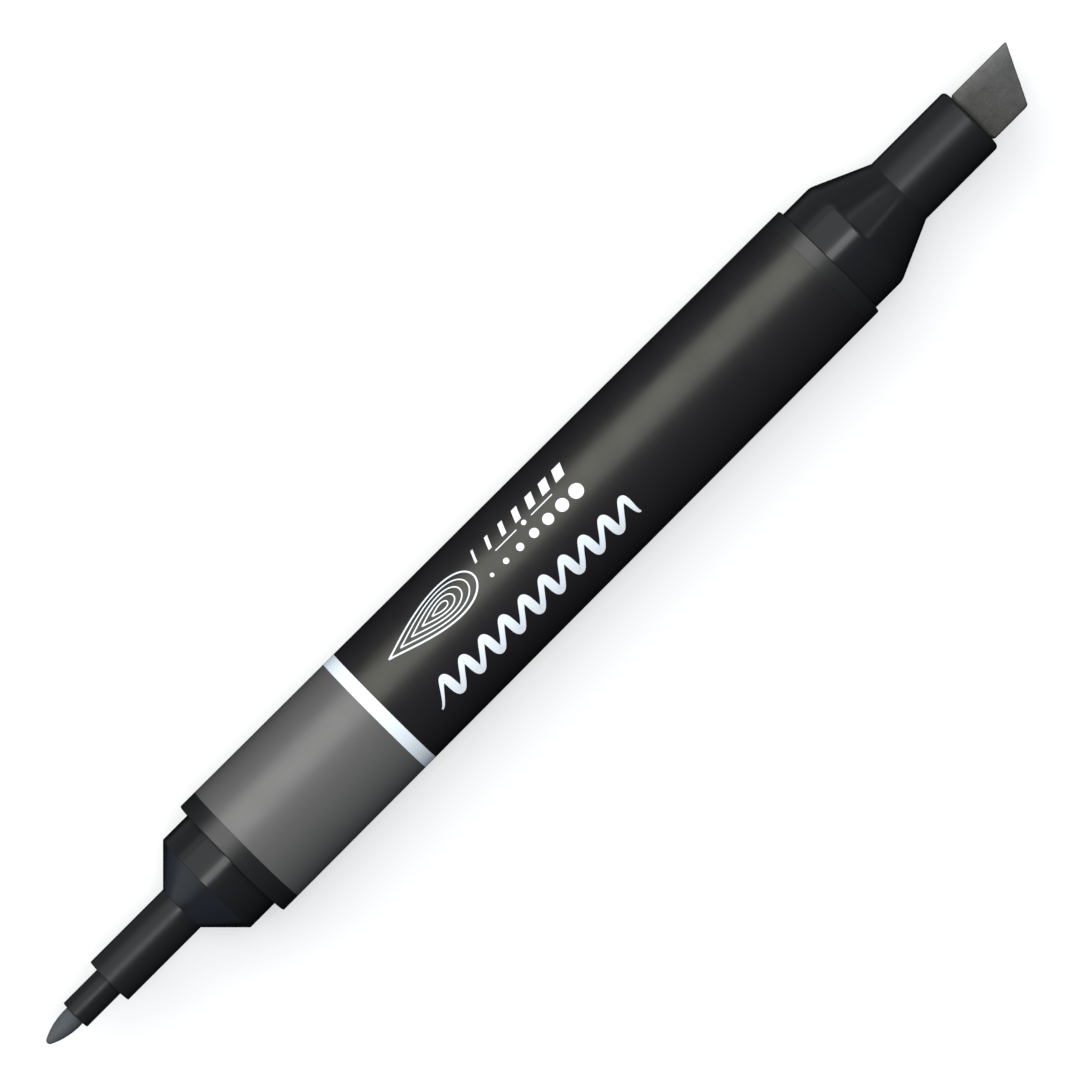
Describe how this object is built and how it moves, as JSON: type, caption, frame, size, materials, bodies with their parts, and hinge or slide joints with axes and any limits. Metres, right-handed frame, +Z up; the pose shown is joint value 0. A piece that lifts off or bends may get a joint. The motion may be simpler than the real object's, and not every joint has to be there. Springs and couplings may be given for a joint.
{
  "type": "felt tip marker",
  "caption": "Uncapped twin-tip felt marker with a bullet nib on one end, a chisel nib on the other and an ink reservoir inside its tapered barrel.",
  "frame": {"origin": "middle of the pen's length and width, on the surface that its barrel lies on", "axes": "+X runs along the pen towards the chisel nib, +Z is up, and the broad faces of the chisel nib are level with the longer side of its slant on +Y"},
  "size_m": [0.1466, 0.0154, 0.0155],
  "materials": {
    "barrel_plastic": "satin moulded polypropylene",
    "nozzle_plastic": "smooth moulded polypropylene",
    "sleeve_plastic": "smooth moulded acetal",
    "label_grey": "satin printed film",
    "label_white": "satin printed film",
    "label_black": "satin printed film",
    "nib_felt": "pressed polyester felt, stained with ink",
    "reservoir_fibre": "bundled polyester fibre, soaked with ink",
    "reservoir_film": "thin clear film"
  },
  "bodies": {
    "marker": {"barrel": "barrel_plastic", "label_colour_band": "label_grey", "label_white_ring": "label_white", "label_black_panel": "label_black", "fine_nozzle": "nozzle_plastic", "fine_nib_sleeve": "sleeve_plastic", "chisel_nozzle": "nozzle_plastic", "ink_reservoir": "reservoir_fibre", "reservoir_wrap": "reservoir_film"},
    "fine_nib": {"fine_nib": "nib_felt"},
    "chisel_nib": {"chisel_nib": "nib_felt"}
  },
  "joints": [
    {"name": "fine_nib_pull", "type": "slide", "parent": "marker", "child": "fine_nib", "axis": [-1, 0, 0], "range_m": [0, 0.035]},
    {"name": "chisel_nib_pull", "type": "slide", "parent": "marker", "child": "chisel_nib", "axis": [1, 0, 0], "range_m": [0, 0.035]}
  ]
}
